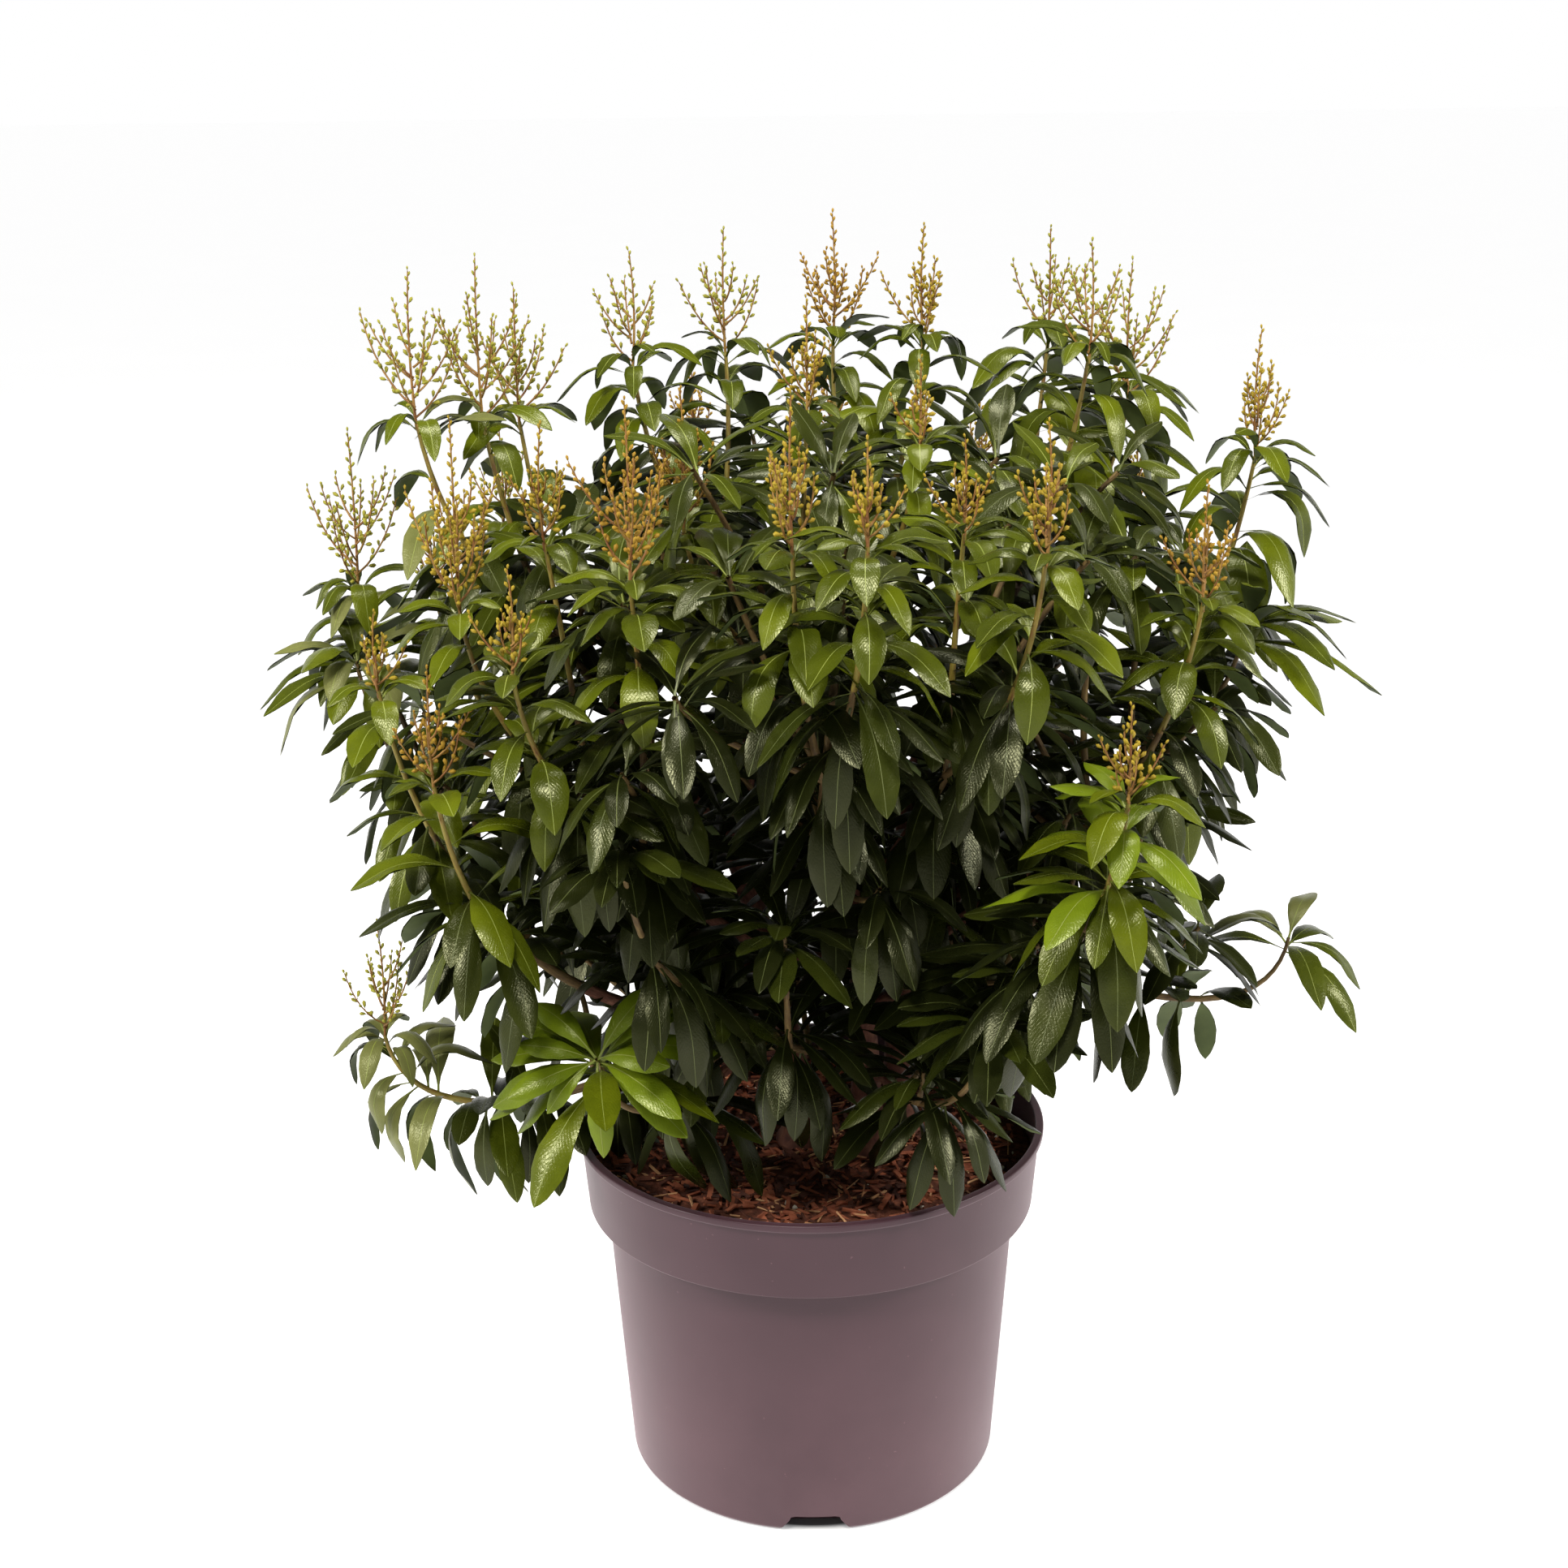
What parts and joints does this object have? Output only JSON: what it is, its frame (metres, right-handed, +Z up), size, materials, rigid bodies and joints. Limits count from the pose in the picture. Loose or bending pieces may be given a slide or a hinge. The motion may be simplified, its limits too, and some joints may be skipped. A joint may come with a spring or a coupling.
{
  "type": "potted pieris shrub",
  "caption": "Evergreen pieris shrub in bud: stems from the soil of a round tapered nursery pot, side boughs, whorls of narrow leaves and upright bud panicles.",
  "frame": {"origin": "centre of the pot's flat underside, on the pot's axis", "axes": "+Z up along the pot's axis, +X to the right seen from the front, -Y towards the viewer"},
  "size_m": [0.6384, 0.5669, 0.735],
  "materials": {
    "pot": "mauve-taupe moulded plastic, satin with a fine bump and a little dust",
    "soil": "moist peat and bark compost, rough",
    "bark": "thin reddish-brown bark with lengthwise fibres",
    "foliage": "leathery leaf, glossy above and paler below"
  },
  "bodies": {
    "root": {"pot": "pot", "soil": "soil", "stem_left": "bark", "stem_front": "bark", "stem_back": "bark", "bough_left_top": "bark", "bough_left_tip": "bark", "bough_left_front": "bark", "bough_left_low_front": "bark", "bough_front_left": "bark", "bough_front": "bark", "bough_front_right": "bark", "bough_middle": "bark", "bough_right_front": "bark", "bough_right_tip": "bark", "bough_right_top": "bark", "bough_right_low_front": "bark", "bough_right_low": "bark", "bough_right_low_side": "bark", "bough_left_low": "bark", "bough_low_left": "bark", "bough_low_front_left": "bark", "bough_low_front": "bark", "bough_low_right": "bark", "bough_back_left_top": "bark", "bough_back_top": "bark", "bough_back_left": "bark", "bough_back": "bark", "bough_back_right": "bark", "bough_back_low_left": "bark", "bough_back_low_right": "bark", "foliage_left_top": "foliage", "foliage_left_tip": "foliage", "foliage_left_front": "foliage", "foliage_left_low_front": "foliage", "foliage_front_left": "foliage", "foliage_front": "foliage", "foliage_front_right": "foliage", "foliage_middle": "foliage", "foliage_right_front": "foliage", "foliage_right_tip": "foliage", "foliage_right_top": "foliage", "foliage_right_low_front": "foliage", "foliage_right_low": "foliage", "foliage_right_low_side": "foliage", "foliage_left_low": "foliage", "foliage_low_left": "foliage", "foliage_low_front_left": "foliage", "foliage_low_front": "foliage", "foliage_low_right": "foliage", "foliage_back_left_top": "foliage", "foliage_back_top": "foliage", "foliage_back_left": "foliage", "foliage_back": "foliage", "foliage_back_right": "foliage", "foliage_back_low_left": "foliage", "foliage_back_low_right": "foliage"}
  },
  "joints": []
}
